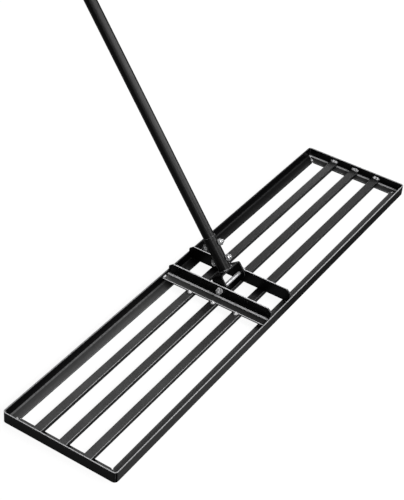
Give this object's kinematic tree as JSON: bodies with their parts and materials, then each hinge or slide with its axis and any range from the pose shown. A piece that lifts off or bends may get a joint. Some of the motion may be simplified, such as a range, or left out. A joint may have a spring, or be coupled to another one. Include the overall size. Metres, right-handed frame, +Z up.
{
  "type": "lawn leveling rake",
  "caption": "Flat rectangular steel frame with lengthwise bars, dragged over soil by a long round handle that swings on a bolted yoke at its middle.",
  "frame": {"origin": "on the ground under the middle of the rectangular frame", "axes": "+X along the long side of the frame, +Y to the side that the handle leans to, +Z up"},
  "size_m": [1.143, 1.1774, 1.4509],
  "materials": {
    "black_paint": "semi-gloss black",
    "zinc_steel": "bright zinc plated",
    "grip_rubber": "matt black"
  },
  "bodies": {
    "frame": {"front_rail": "black_paint", "rear_rail": "black_paint", "left_end_rail": "black_paint", "right_end_rail": "black_paint", "front_bar": "black_paint", "middle_bar": "black_paint", "rear_bar": "black_paint", "left_cross_angle": "black_paint", "right_cross_angle": "black_paint", "pivot_bolt": "zinc_steel", "pivot_nut": "zinc_steel", "outer_washers": "zinc_steel", "thrust_washers": "zinc_steel"},
    "handle": {"yoke": "black_paint", "socket_tube": "black_paint", "socket_bolts": "zinc_steel", "socket_nuts": "zinc_steel", "lower_handle_tube": "black_paint", "upper_handle_tube": "black_paint", "joint_sleeve": "zinc_steel", "joint_bolts": "zinc_steel", "joint_nuts": "zinc_steel", "hand_grip": "grip_rubber"}
  },
  "joints": [
    {"name": "handle_pivot", "type": "hinge", "parent": "frame", "child": "handle", "pos_m": [0, -0.0034, 0.034], "axis": [1, 0, 0], "range_deg": [-51.5, 119]}
  ]
}
